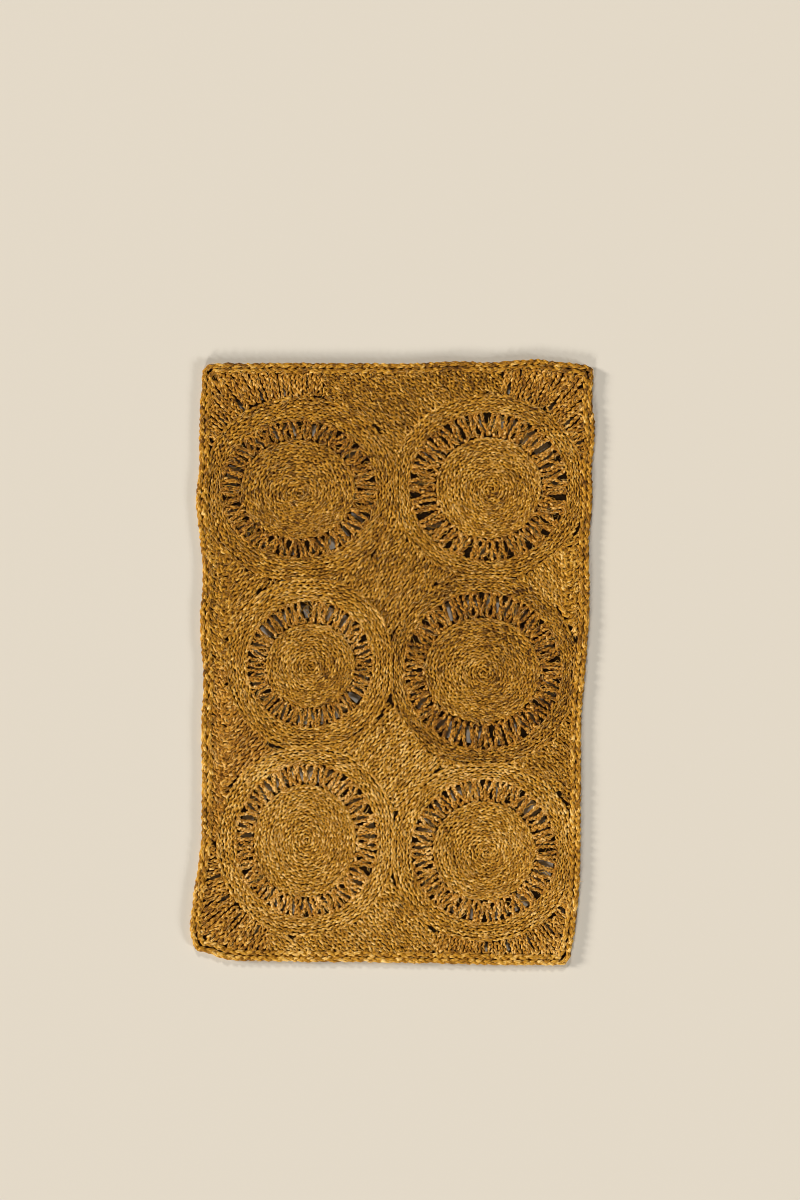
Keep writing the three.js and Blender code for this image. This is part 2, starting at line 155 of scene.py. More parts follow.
def depthInside(points, line):
    # How far points are inside a closed line, below zero outside it
    start, end = line, np.roll(line, -1, axis=0)
    side = end - start
    offset = points[:, None, :] - start[None]
    share = np.clip((offset * side).sum(2) / (side**2).sum(1), 0, 1)
    nearest = np.linalg.norm(offset - share[..., None] * side, axis=2).min(1)
    above = points[:, None, 1] < np.maximum(start[:, 1], end[:, 1])
    below = points[:, None, 1] >= np.minimum(start[:, 1], end[:, 1])
    rise = np.where(side[:, 1] == 0, 1e-9, side[:, 1])
    crossing = start[:, 0] + (points[:, None, 1] - start[:, 1]) * side[:, 0] / rise
    inside = (above & below & (points[:, None, 0] < crossing)).sum(1) % 2 == 1
    return np.where(inside, nearest, -nearest)


# The plait: three strands that cross over and under each other
plait = {
    "rowPitch": 5.45,  # one row side by side with the next
    "overlap": 1.28,  # a plait's width, in row pitches, so that neighbouring rows press together
    "middleZ": 4.0,  # half way up the rug
    "cycle": 3.9,  # length of a full crossing, in plait widths
    "stepsPerCycle": 16,
    "rings": (0.2, 0.85),  # where a strand starts and ends each quarter that it lies over or under
    "strandWidth": 0.43,  # in plait widths, as is the next
    "strandHeight": 0.54,
    "swing": 0.82,  # share of the room that a strand takes to either side
    "rise": 1.2,  # mm that a strand goes over and under
    "roughness": 0.2,  # uneven thickness
    "stray": 0.5,  # mm that a strand strays sideways
    "slack": 0.45,  # radians that a crossing comes early or late
    "wobble": 0.5,  # mm that a row wanders
    "heightLimit": 3.65,  # most above or below the middle
    "strandLimit": 2.5,  # most that half a strand is high
    "turnSharpness": 0.97,  # nearer to 1, a strand runs straighter from side to side
    "endWidth": 0.35,  # how thin a strand gets at its end, and how little it rises there
    "endRise": 0.4,
    "endEase": 0.55,  # plait widths over which it gets thin
    "stitchTones": 0.26,  # how unlike in tone the stitches, the strands and the strand's sides are
    "strandTones": 0.06,
    "sideTones": 0.14,
}


class Bundle:
    # Gathers strands into the arrays of one mesh
    def __init__(self):
        self.points = []
        self.faces = []
        self.uvs = []
        self.caps = []
        self.capUvs = []
        self.looks = {"tone": [], "shadeDepth": [], "warmth": []}
        self.count = 0

    def addTube(self, rings, at, around, closed, look, length):
        # Rings is steps by sides by 3, and look holds tone, the depth that sets painted shade, and
        # warmth.
        # The ends of an open tube are closed with a face each.
        steps, sides, _ = rings.shape
        index = self.count + np.arange(steps * sides).reshape(steps, sides)
        nextRing = np.roll(index, -1, axis=0)
        nextSide = np.roll(index, -1, axis=1)
        both = np.roll(nextRing, -1, axis=1)
        faces = np.stack([index, nextSide, both, nextRing], axis=2)
        alongHere = np.repeat(at[:, None], sides, axis=1)
        alongNext = np.repeat(np.append(at[1:], at[0] + length)[:, None], sides, axis=1)
        sideHere = np.repeat(around * np.arange(sides)[None] / sides, steps, axis=0)
        sideNext = sideHere + around / sides
        uvs = np.stack([
            np.stack([alongHere, sideHere], axis=2), np.stack([alongHere, sideNext], axis=2),
            np.stack([alongNext, sideNext], axis=2), np.stack([alongNext, sideHere], axis=2),
        ], axis=2)
        if not closed:
            faces, uvs = faces[:-1], uvs[:-1]
            for cap, end in ((index[0][::-1], at[0]), (index[-1], at[-1])):
                self.caps.append(cap)
                self.capUvs.append(np.tile([end, 0.0], (sides, 1)))
        self.faces.append(faces.reshape(-1, 4))
        self.uvs.append(uvs.reshape(-1, 2))
        self.points.append(rings.reshape(-1, 3))
        for kept, value in zip(self.looks.values(), look):
            kept.append(np.broadcast_to(value, (steps, sides)).reshape(-1))
        self.count += steps * sides

    def mesh(self, name):
        points = np.concatenate(self.points) * mm
        faces = np.concatenate(self.faces)
        corners = np.concatenate([faces.reshape(-1), *self.caps])
        sizes = np.concatenate([np.full(len(faces), 4), [len(cap) for cap in self.caps]]).astype(int)
        starts = np.concatenate([[0], np.cumsum(sizes)[:-1]])
        mesh = bpy.data.meshes.new(name)
        mesh.vertices.add(len(points))
        mesh.vertices.foreach_set("co", points.astype(np.float32).reshape(-1))
        mesh.loops.add(len(corners))
        mesh.loops.foreach_set("vertex_index", corners.astype(np.int32))
        mesh.polygons.add(len(sizes))
        mesh.polygons.foreach_set("loop_start", starts.astype(np.int32))
        mesh.polygons.foreach_set("use_smooth", np.ones(len(sizes), bool))
        mesh.update(calc_edges=True)
        uvs = np.concatenate([*self.uvs, *self.capUvs]).astype(np.float32)
        mesh.uv_layers.new(name="alongStrand").data.foreach_set("uv", uvs.reshape(-1))
        for title, values in self.looks.items():
            layer = mesh.attributes.new(title, "FLOAT", "POINT")
            layer.data.foreach_set("value", np.concatenate(values).astype(np.float32))
        mesh.validate()
        return mesh


def unit(vectors):
    return vectors / np.maximum(np.linalg.norm(vectors, axis=-1, keepdims=True), 1e-9)


def addPlait(bundle, line, seed, closed=False, tone=0.5, warmth=0.0, crossing=None, paintedLightSlope=0.0):
    # Lays a three-strand plait along a line of x, y and width. Crossing is the length of its full
    # crossing, in plait widths. The last argument is painted light: how much its tone rises towards the
    # rug's bottom end and falls into painted shade towards its top.
    line = np.asarray(line, float)
    meanWidth = line[:, 2].mean()
    cycle = (crossing or plait["cycle"]) * meanWidth
    line, length = evenSteps(line, cycle / plait["stepsPerCycle"], closed)
    if closed:
        flat = (np.roll(line, -1, axis=0) - np.roll(line, 1, axis=0))[:, :2]
        line, flat = np.vstack([line, line[:1]]), np.vstack([flat, flat[:1]])
    else:
        flat = np.gradient(line[:, :2], axis=0)
    flat = unit(flat)
    along = np.linspace(0, length, len(line))
    cycles = max(1, round(length / cycle)) if closed else length / cycle
    random = np.random.default_rng(seed)

    def waves(lengths):
        turns = np.array([max(1, round(cycles / each)) for each in lengths])
        return np.sin(2 * math.pi * turns * along[:, None] / length + random.uniform(0, 6, 2)).sum(1)

    # The lengths of the waves are in crossings
    phase = 2 * math.pi * (cycles * along / length + random.uniform())
    phase = phase + plait["slack"] * waves((2.3, 5.1))
    wander = 0.5 * plait["wobble"] * waves((3.5, 1.4))
    quarter = math.pi / 2
    outline = np.array([[1, 1], [-1, 1], [-1, -1], [1, -1]])
    sides = len(outline)
    sharpness = plait["turnSharpness"]
    for strand in range(3):
        turning = phase + strand * 2 * math.pi / 3
        quarters = np.arange(math.floor(turning[0] / quarter), math.ceil(turning[-1] / quarter))
        turn = (quarters[:, None] + np.array(plait["rings"])).reshape(-1) * quarter
        turn = turn[(turn > turning[0]) & (turn < turning[-1])]
        stitch = np.floor(turn / quarter).astype(int)
        level = np.where(stitch % 2 == 0, 1.0, -1.0)
        if not closed:
            turn = np.concatenate([turning[:1], turn, turning[-1:]])
            stitch = np.floor(turn / quarter).astype(int)
            level = np.concatenate([[0], level, [0]])
        count = len(turn)
        at = np.interp(turn, turning, along)
        x, y, width, flatX, flatY, away = (
            np.interp(at, along, column) for column in (*line.T, *flat.T, wander))
        thickness = 1 + plait["roughness"] * random.uniform(-1, 1, 64)[stitch % 64]
        halfWide = 0.5 * plait["strandWidth"] * width * thickness
        halfHigh = 0.5 * plait["strandHeight"] * width * thickness
        halfHigh = np.minimum(halfHigh, plait["strandLimit"])
        room = 0.5 * (1 - plait["strandWidth"]) * width * plait["swing"]
        offset = room * np.arcsin(sharpness * np.sin(turn)) / math.asin(sharpness) + away
        offset += plait["stray"] * random.uniform(-1, 1, count)
        rise = np.minimum(plait["rise"], plait["heightLimit"] - halfHigh)
        if not closed:
            ease = np.clip(np.minimum(at, length - at) / (plait["endEase"] * meanWidth), 0, 1)
            thinning = plait["endWidth"] + (1 - plait["endWidth"]) * ease
            halfWide *= thinning
            halfHigh *= thinning
            rise *= plait["endRise"] + (1 - plait["endRise"]) * ease
        offsets = offset[:, None] + halfWide[:, None] * outline[:, 0]
        heights = (rise * level)[:, None] + halfHigh[:, None] * outline[:, 1]
        rings = np.stack([
            x[:, None] - flatY[:, None] * offsets,
            y[:, None] + flatX[:, None] * offsets,
            plait["middleZ"] + heights,
        ], axis=2)
        value = tone + plait["stitchTones"] * random.uniform(-1, 1, 64)[(stitch + 5) % 64]
        value = value + plait["strandTones"] * random.uniform(-1, 1)
        # Painted light: paler towards the rug's bottom end, painted shade towards its top end
        value -= paintedLightSlope * y / rugOutline["halfLength"]
        value = value[:, None] + plait["sideTones"] * random.uniform(-1, 1, (count, sides))
        # How high each corner lies from the plait's middle, which the material turns into painted shade
        # low down
        shadeDepth = heights / (rise + halfHigh)[:, None]
        around = 2 * math.pi * halfHigh.mean()
        bundle.addTube(rings, at, around, closed, (value, shadeDepth, warmth), length)
    addFuzz(bundle, line, random)


# Loose fibres that stand off the strands. Real ones are finer, and these are as coarse as they
# need to show.
fuzz = {
    "apart": 12.5,  # mm of row to a fibre
    "length": (7, 18),
    "thickness": (0.35, 0.6),
    "across": 0.4,  # row widths to either side of its middle
    "slant": 0.3,  # radians off the row
    "bend": 0.5,
    "low": 7.1,  # mm, where its ends and its middle lie
    "high": 7.9,
    "tone": 0.85,
    "toneSpread": 0.2,
}


def addStrand(bundle, heart, thick, tone):
    # A thin three-sided strand through points of x, y and z, drawn out at its ends
    flat = unit(np.gradient(heart[:, :2], axis=0))
    half = thick / 2 * np.ones(len(heart))
    half[[0, -1]] *= 0.25
    rings = np.repeat(heart[:, None], 3, axis=1)
    for side, (wide, high) in enumerate(((0, 1), (-0.87, -0.5), (0.87, -0.5))):
        rings[:, side, 0] -= flat[:, 1] * half * wide
        rings[:, side, 1] += flat[:, 0] * half * wide
        rings[:, side, 2] += half * high
    at = np.concatenate([[0], np.cumsum(np.hypot(*np.diff(heart[:, :2], axis=0).T))])
    bundle.addTube(rings, at, 3 * thick, False, (tone, 1, 0), 1)


def addFuzz(bundle, line, random):
    # Fibres laid along a line of x, y and width, on the upper face
    line, length = evenSteps(line, 4)
    count = random.poisson(length / fuzz["apart"])
    if not count or len(line) < 3:
        return
    at = random.integers(1, len(line) - 1, count)
    ahead = line[at + 1, :2] - line[at - 1, :2]
    heading = np.arctan2(ahead[:, 1], ahead[:, 0]) + fuzz["slant"] * random.normal(size=count)
    aside = line[at, 2] * random.uniform(-fuzz["across"], fuzz["across"], count)
    reach = random.uniform(*fuzz["length"], count) / 2
    thick = random.uniform(*fuzz["thickness"], count)
    bend = fuzz["bend"] * random.uniform(-1, 1, count)
    t = np.array([-1, -0.35, 0.35, 1])
    for i in range(count):
        turned = heading[i] + bend[i] * t
        heart = np.empty((4, 3))
        middleX = line[at[i], 0] - aside[i] * math.sin(heading[i])
        middleY = line[at[i], 1] + aside[i] * math.cos(heading[i])
        heart[:, 0] = middleX + reach[i] * t * np.cos(turned)
        heart[:, 1] = middleY + reach[i] * t * np.sin(turned)
        heart[:, 2] = fuzz["high"] - thick[i] / 2
        heart[[0, -1], 2] = fuzz["low"]
        tone = fuzz["tone"] + fuzz["toneSpread"] * random.uniform(-1, 1)
        addStrand(bundle, heart, thick[i], tone)


# Medallions: a coiled disc, a ring of looped openwork and a hoop of rows. Sizes are half widths
# on X and Y, and shifts are of the disc, or of its coil's start, from the middle. Wide slots are
# angles, counter-clockwise from +X, and widths. At seams, hoops are pressed flat on each other.
# Tangle is how many times more than usual the legs of the ring stray.
seamX = {"top": 0.8, "middle": -6.2, "bottom": -3}
seamY = {"leftUpper": 119.5, "leftLower": -139.3, "rightUpper": 122.6, "rightLower": -165}
# Tones are partly the jute's own uneven tone and partly painted light: lower towards the rug's top end,
# which lies in more shade, and higher towards its bottom end
medallions = [
    {
        "node": "medallion_top_left", "at": (-149, 260), "disc": (88, 77), "ring": (122, 110),
        "hoop": (152, 143), "rows": 7, "discShift": (-2, 0), "coilShift": (2.9, -8.5),
        "seamX": seamX["top"], "seamY": [seamY["leftUpper"]], "tone": 0.42, "tangle": 1.4,
        "wideSlots": {80: 6.8, 160: 7.6, 168: 7.8, 176: 8.0, 228: 7.6, 300: 7.8, 318: 7.6, 328: 7.8},
    },
    {
        "node": "medallion_top_right", "at": (144, 264), "disc": (81, 79), "ring": (125, 119),
        "hoop": (149, 143), "rows": 6, "discShift": (0, -2), "coilShift": (5.6, -2.7),
        "seamX": seamX["top"], "seamY": [seamY["rightUpper"]], "tone": 0.48, "tangle": 1.8,
        "slotWidth": 5.2, "wideSlots": {36: 7.6, 50: 7.0, 219: 7.6},
    },
    {
        "node": "medallion_middle_left", "at": (-131, -11), "disc": (68, 64), "ring": (99, 100),
        "hoop": (128, 132), "rows": 7, "discShift": (1, -2), "coilShift": (0.5, -2.5),
        "seamX": seamX["middle"], "seamY": [seamY["leftUpper"], seamY["leftLower"]], "tone": 0.54,
        "wideSlots": {50: 8.4, 72: 9.5, 97: 16, 146: 7.4, 326: 13},
    },
    {
        "node": "medallion_middle_right", "at": (134, -21), "disc": (88, 80), "ring": (123, 123),
        "hoop": (144, 147), "rows": 6, "discShift": (-1, 1), "coilShift": (2.7, -4.7),
        "seamX": seamX["middle"], "seamY": [seamY["rightUpper"], seamY["rightLower"]],
        "tone": 0.39, "wideSlots": {118: 6.0, 205: 7.4, 262: 7.8},
    },
    {
        "node": "medallion_bottom_left", "at": (-134, -278), "disc": (77, 84), "ring": (110, 118),
        "hoop": (135, 142), "rows": 6, "discShift": (-3, -1), "coilShift": (2.8, 0.7),
        "seamX": seamX["bottom"], "seamY": [seamY["leftLower"]], "tone": 0.64,
        "wideSlots": {83: 8.2, 160: 7.6},
    },
    {
        "node": "medallion_bottom_right", "at": (134, -294), "disc": (77, 74), "ring": (113, 110),
        "hoop": (140, 133), "rows": 6, "discShift": (0, 0), "coilShift": (4.8, -2.4),
        "seamX": seamX["bottom"], "seamY": [seamY["rightLower"]], "tone": 0.58,
        "wideSlots": {48: 8.2, 309: 7.8, 339: 7.8, 349: 7.8},
    },
]
openwork = {
    "slots": 44,
    "from": 0.2,  # where a slot starts and ends across its ring
    "to": 0.78,
    "slotWidth": 6,
    "unevenPlace": 0.12,  # of the pitch of the slots
    "unevenWidth": 0.18,
    "unevenStart": 0.06,  # of the ring's width
    "unevenEnd": 0.07,
    "lean": 0.13,  # of the pitch, by turns to either side
    "taper": 0.3,  # most by which a slot is wider at one end and narrower at the other
    "roomyFrom": 9,  # mm, and slots wider than this push their neighbours away
    "longFrom": 12,  # mm, and slots wider than this reach further out
    "longer": 1.2,  # times unevenEnd
    "legWidth": 0.49,  # of the pitch of the slots
    "legOff": 0.75,  # from the slot's edge to the middle of its leg
    "narrow": 0.92,  # share of its width that a slot keeps at its outer end
    "rootOff": 0.5,  # mm of room between the roots of a slot's legs, and how far they spread
    "rootSpread": 1.15,
    "root": 0.09,  # where the legs start across the ring
    "crown": 0.115,  # how far past the slot's end they bend into the loop, and its top
    "top": 0.18,
    "topLimit": 0.97,
    "crownShare": 0.8,  # of the slot's half width, and mm more, to where they bend
    "crownOff": 1.2,
    "valley": 0.035,  # where the plait turns between two slots, across the ring
    "valleyStray": 0.02,
    "slipped": 50,  # single strands that have slipped out of the legs of a ring
    "slippedThickness": (0.8, 1.5),
    "slippedLow": 5.4,  # mm, where its ends and its middle lie
    "slippedHigh": 6.6,
    "stray": 0.8,  # mm
    "huddle": 1.0,  # mm that legs lean together where no nick shows between two slots
    "cycle": 3.1,  # in leg widths
    "pinches": [  # mm that the legs beside a slot draw together at its inner end, middle and outer end
        (1.9, -0.2, -0.6), (1.2, 0.2, 0.0), (-0.3, -0.3, 1.8), (0.3, -0.6, 0.8), (2.2, 0.9, -0.8),
    ],
    "widePinch": (-0.4, -1.4, -1.0),  # the same beside a wide slot
    "toneOver": 0.02,  # how much paler a ring is than its disc
    "warmth": 0.5,
}
hoop = {
    "press": 0.8,  # mm that the last row presses on what is beside it
    "toneOver": 0.01,  # how much paler it is than its disc
    "overLegs": 3.0,  # mm that the first row reaches over the ends of the legs
    "swell": 1.8,  # mm that the last row fills out, so that no light shows between two hoops
    "cycle": 4.6,  # in plait widths
}
borderWidth = 16
hoopGap = 0.9  # from a hoop to the border
pieceGap = 0.3  # between any other two pieces
hoopAngles = np.radians(np.arange(0, 360, 2))


def ellipseRadius(half, angles):
    return 1 / np.hypot(np.cos(angles) / half[0], np.sin(angles) / half[1])


def reachOf(centre, angles, line):
    # How far rays from a point go before they meet a closed line
    side = np.roll(line, -1, axis=0) - line
    ray = np.stack([np.cos(angles), np.sin(angles)], axis=1)[:, None]
    offset = line[None] - np.asarray(centre)
    cross = ray[..., 0] * side[:, 1] - ray[..., 1] * side[:, 0]
    along = (offset[..., 0] * side[:, 1] - offset[..., 1] * side[:, 0]) / cross
    share = (offset[..., 0] * ray[..., 1] - offset[..., 1] * ray[..., 0]) / cross
    meets = (along > 0) & (share >= 0) & (share <= 1)
    return np.where(meets, along, 1e9).min(1)


def hoopRadius(row):
    # The hoop's outer edge: an ellipse, pressed flat where it meets the border or another hoop
    limit = reachOf(row["at"], hoopAngles, rugLine(borderWidth + hoopGap))
    offsets = [(row["seamX"] - row["at"][0], np.cos(hoopAngles))]
    offsets += [(seam - row["at"][1], np.sin(hoopAngles)) for seam in row["seamY"]]
    for offset, heading in offsets:
        toSeam = (abs(offset) - pieceGap / 2) / np.maximum(abs(heading), 1e-6)
        limit = np.where(heading * offset > 0, np.minimum(limit, toSeam), limit)
    radius = np.minimum(ellipseRadius(row["hoop"], hoopAngles) + hoop["swell"], limit)
    softened = sum(np.roll(radius, shift) for shift in range(-3, 4)) / 7
    return np.minimum(softened, limit)


for row in medallions:
    row["edge"] = hoopRadius(row)


coil = {
    "pitch": 4.5,
    "overlap": 1.42,
    "heart": 0.12,  # turns from the very middle to where it starts
    "pointsPerTurn": 60,
    "tailWidth": 0.6,  # share of its width that it keeps where it ends
}


def addDisc(bundle, row, seed):
    # One length of plait wound as a flat coil, narrowing where it ends at the rim
    turns = round(sum(row["disc"]) / 2 / coil["pitch"]) - 1
    wound = np.linspace(coil["heart"], turns + 0.5, coil["pointsPerTurn"] * turns)
    share = np.minimum(wound * (turns + 0.6) / (turns - 0.5), turns + 0.6) / (turns + 1)
    angle = 2 * math.pi * wound
    inward = 1 - share**1.5
    centreX = row["at"][0] + row["discShift"][0] + row["coilShift"][0] * inward
    centreY = row["at"][1] + row["discShift"][1] + row["coilShift"][1] * inward
    pitch = sum(row["disc"]) / 2 / (turns + 1)
    narrowing = np.clip(1 - 0.9 * (wound - turns - 0.05), coil["tailWidth"], 1)
    width = pitch * coil["overlap"] * narrowing
    x = centreX + share * row["disc"][0] * np.cos(angle)
    y = centreY + share * row["disc"][1] * np.sin(angle)
    addPlait(bundle, np.stack([x, y, width], axis=1), seed, tone=row["tone"])


def addHoop(bundle, row, seed):
    ring = ellipseRadius(row["ring"], hoopAngles) - hoop["overLegs"]
    rows, tone = row["rows"], row["tone"] + hoop["toneOver"]
    for step in range(rows):
        pressed = hoop["press"] * (step + 1 == rows)
        radius = ring + (row["edge"] - ring) * (step + 0.5) / rows + pressed
        width = plait["overlap"] * (row["edge"] - ring) / rows + pressed
        line = roundLine(row["at"], radius, hoopAngles, width)
        addPlait(bundle, line, seed + step, closed=True, tone=tone, crossing=hoop["cycle"])


def ringPoint(row, angle, share):
    # A point of the openwork ring, from its inner edge at a share of 0 to its outer edge at 1
    halfX = row["disc"][0] + (row["ring"][0] - row["disc"][0]) * share
    halfY = row["disc"][1] + (row["ring"][1] - row["disc"][1]) * share
    midX = row["at"][0] + row["discShift"][0] * (1 - share)
    midY = row["at"][1] + row["discShift"][1] * (1 - share)
    return midX + halfX * math.cos(angle), midY + halfY * math.sin(angle)


def slotShapes(row, step, midRadius, unevenSeed):
    # The slots' middles and half widths as angles, where they start and end across the ring, how
    # they lean and taper, and which are the wide ones
    count = openwork["slots"]
    index = np.arange(count)
    middle = (index + 0.5 + openwork["unevenPlace"] * uneven(index, unevenSeed)) * step
    usual = row.get("slotWidth", openwork["slotWidth"])
    half = usual * (1 + openwork["unevenWidth"] * uneven(index, unevenSeed + 1)) / 2 / midRadius
    isWide = np.zeros(count, bool)
    for degrees, width in row["wideSlots"].items():
        nearest = np.abs(middle - math.radians(degrees)).argmin()
        isWide[nearest] = True
        half[nearest] = width / 2 / midRadius
        for away in (-1, 1):
            push = max(0, width - openwork["roomyFrom"]) / 2 / midRadius
            middle[(nearest + away) % count] += away * push
    lean = np.where(index % 2, openwork["lean"], -openwork["lean"])
    lean = lean * step * (1 + 0.5 * uneven(index, unevenSeed + 2))
    taper = np.where(isWide, 0, openwork["taper"] * uneven(index, unevenSeed + 3))
    start = openwork["from"] + openwork["unevenStart"] * uneven(index, unevenSeed + 4)
    isLong = half * midRadius > openwork["longFrom"] / 2
    further = np.where(isLong, openwork["longer"], uneven(index, unevenSeed + 5))
    end = openwork["to"] + openwork["unevenEnd"] * further
    return middle, half, start, end, lean, taper, isWide


def addOpenwork(bundle, row, seed, unevenSeed):
    # Legs of plait that loop round the outer end of each slot, and between slots at the inner
    count = openwork["slots"]
    step = 2 * math.pi / count
    midRadius = (sum(row["disc"]) + sum(row["ring"])) / 4
    middle, half, start, end, lean, taper, isWide = slotShapes(row, step, midRadius, unevenSeed)
    legWidth = openwork["legWidth"] * midRadius * step
    random = np.random.default_rng(seed)
    stray = random.normal(0, openwork["stray"] * row.get("tangle", 1), (count, 6))
    pinches = np.array(openwork["pinches"])[random.integers(0, len(openwork["pinches"]), count)]
    pinches[isWide] = openwork["widePinch"]
    pinches /= midRadius
    huddle = openwork["huddle"] * (random.uniform(size=count) < 0.5) / midRadius
    off = openwork["legOff"] / midRadius
    root = (openwork["rootOff"] + legWidth / 2) / midRadius * openwork["rootSpread"]
    points = []
    for i in range(count):
        inner = middle[i] - lean[i]
        outer = middle[i] + lean[i]
        innerHalf = half[i] * (1 - taper[i])
        outerHalf = half[i] * (1 + taper[i])
        meanHalf = (innerHalf + outerHalf) / 2
        endHalf = outerHalf * openwork["narrow"]
        crown = openwork["crownShare"] * outerHalf + openwork["crownOff"] / midRadius
        legs = []
        for side in (-1, 1):
            aside = stray[i, :3] if side < 0 else stray[i, 3:]
            aside = aside / midRadius + side * huddle[i if side > 0 else i - 1]
            legs.append([
                (inner + side * root, openwork["root"]),
                (inner + side * (innerHalf + off - pinches[i, 0]) + aside[0], start[i]),
                (middle[i] + side * (meanHalf + off - pinches[i, 1]) + aside[1], 0.5),
                (outer + side * (endHalf + off - pinches[i, 2]) + aside[2], end[i]),
                (outer + side * crown, end[i] + openwork["crown"]),
            ])
        following = (i + 1) % count
        innerNext = middle[following] - lean[following] + (2 * math.pi if following == 0 else 0)
        top = (outer, min(end[i] + openwork["top"], openwork["topLimit"]))
        valley = ((inner + innerNext) / 2, openwork["valley"] + openwork["valleyStray"] * stray[i, 0])
        route = [*legs[0], top, *legs[1][::-1], valley]
        points.extend(ringPoint(row, angle, share) + (legWidth,) for angle, share in route)
    line = throughPoints(points, closed=True, perSpan=4)
    addPlait(bundle, line, seed, closed=True, tone=row["tone"] + openwork["toneOver"],
             warmth=openwork["warmth"], crossing=openwork["cycle"])
    addSlipped(bundle, row, step, random)


def addSlipped(bundle, row, step, random):
    # Single strands that have slipped out of the legs and lie across the ring
    for _ in range(openwork["slipped"]):
        angle = random.uniform(0, 2 * math.pi)
        turned = step * random.normal(0, 0.7)
        shares = np.linspace(random.uniform(0.0, 0.3), random.uniform(0.7, 1.0), 6)
        swing = 0.25 * step * random.normal(size=6)
        heart = np.array([
            ringPoint(row, angle + turned * share + side, share) + (openwork["slippedHigh"],)
            for share, side in zip(shares, swing)])
        heart[[0, -1], 2] = openwork["slippedLow"]
        thick = random.uniform(*openwork["slippedThickness"])
        addStrand(bundle, heart, thick, row["tone"] + 0.3 * random.uniform(-0.5, 1))


# Infill between the hoops and the border. Rows run at an angle from +X, and where a panel has a
# fold they turn there to the inner angle. Corner fans spread from the middle of a medallion.
# Here and in the corner fans, tones are partly the jute's own uneven tone and partly painted light: lower
# towards the rug's top end, which lies in more shade, and higher towards its bottom end
panels = [
    {"node": "panel_top", "x": (-110, 165), "y": (299, 450), "rows": 142, "tone": 0.38},
    {"node": "panel_bottom", "x": (-190, 58), "y": (-455, -322), "rows": 140, "tone": 0.63},
    {"node": "panel_upper_diamond", "x": (-104, 102), "y": (22, 225), "rows": 57, "tone": 0.45},
    {"node": "panel_lower_diamond", "x": (-95, 97), "y": (-248, -52), "rows": 45, "tone": 0.62},
    {"node": "panel_left_upper", "x": (-300, -176), "y": (-10, 193), "rows": 130,
     "fold": -262, "inner": 50, "tone": 0.50},
    {"node": "panel_left_lower", "x": (-300, -168), "y": (-278, -10.3), "rows": 130,
     "fold": -258, "inner": 48, "tone": 0.55, "warmth": 0.4},
    {"node": "panel_right_upper", "x": (175, 300), "y": (12, 209), "rows": 52,
     "fold": 266, "inner": 125, "tone": 0.59},
    {"node": "panel_right_lower", "x": (172, 300), "y": (-240, -80), "rows": 140, "tone": 0.54},
]
fans = [
    {"node": "corner_top_left", "medallion": 0, "x": (-300, -110.3), "y": (325, 450),
     "facing": 125, "tone": 0.50},
    {"node": "corner_top_right", "medallion": 1, "x": (165.3, 300), "y": (307, 450),
     "facing": 52, "tone": 0.48},
    {"node": "corner_bottom_left", "medallion": 4, "x": (-300, -190.3), "y": (-455, -278.3),
     "facing": 228, "tone": 0.54},
    {"node": "corner_bottom_right", "medallion": 5, "x": (58.3, 300), "y": (-455, -356),
     "facing": 297, "tone": 0.54},
]
fan = {
    "warmth": 0.3,
    "spread": 130,  # degrees
    "near": 100,
    "far": 330,
    "gaps": (-26, -13, 0, 13, 26),  # degrees either side of where the fan faces
    "legsPerGap": 6,
    "clear": 7,  # from the hoop to a gap
    "length": 15,
    "width": 6,
    "outerWidth": 3.6,
    "opening": 0.42,  # of a gap's width, that the legs on each side make room
    "fade": 9,  # mm over which they close up again
    "legWidths": (3.6, 9),
    "shortFrom": 14,  # mm, and shorter legs fill the panel to its edge
    "drift": 0.2,  # of the room for a leg, that it strays
    "overlap": 1.2,
}
infill = {
    "overlap": 1.2,  # a plait's width, in row pitches
    "nick": 6.0,  # mm more room at places along a hoop
    "endRoom": -0.8,  # from the end of a row to the edge of its panel, which it tucks under
    "fanRoom": 1.6,  # the same for a leg in a corner fan
    "jointRoom": -0.2,  # the same where the panel meets another one
    "shortest": 3,
    "spareFrom": 12,  # mm, and a row cut in two keeps its shorter part from here on
    "pointEvery": 9,
    "bulge": 0.3,  # of a row's width, that it turns beyond its end
    "foldSpread": 0.95,  # how much wider rows are at a fold, and over what reach
    "foldReach": 8,
    "sway": 3.2,  # mm that straight rows bow, in waves of this many mm a radian
    "swayLength": 47,
    "joinWithin": 20,
    "cycle": 3.75,  # in plait widths
}


def clearRuns(line, cell, room):
    # The stretches of a line that lie in a panel's own space, clear of its edge
    x, y = line[:, 0], line[:, 1]
    joint = infill["jointRoom"]
    free = (x > cell["x"][0] + joint) & (x < cell["x"][1] - joint)
    free &= (y > cell["y"][0] + joint) & (y < cell["y"][1] - joint)
    if not free.any():
        return []
    free &= depthInside(line[:, :2], borderInside) > room
    for row in medallions:
        offsetX, offsetY = x - row["at"][0], y - row["at"][1]
        angle = np.arctan2(offsetY, offsetX) % (2 * math.pi)
        edge = np.interp(angle, hoopAngles, row["edge"], period=2 * math.pi)
        nick = infill["nick"] * np.clip(np.sin(9 * angle + row["at"][0]), 0, 1) ** 4
        free &= np.hypot(offsetX, offsetY) > edge + room + nick
    marks = np.flatnonzero(np.diff(np.concatenate([[0], free.astype(int), [0]])))
    runs = [line[a:b] for a, b in zip(marks[::2], marks[1::2])]
    return [run for run in runs if len(run) > infill["shortest"]]


borderInside = rugLine(borderWidth + pieceGap)


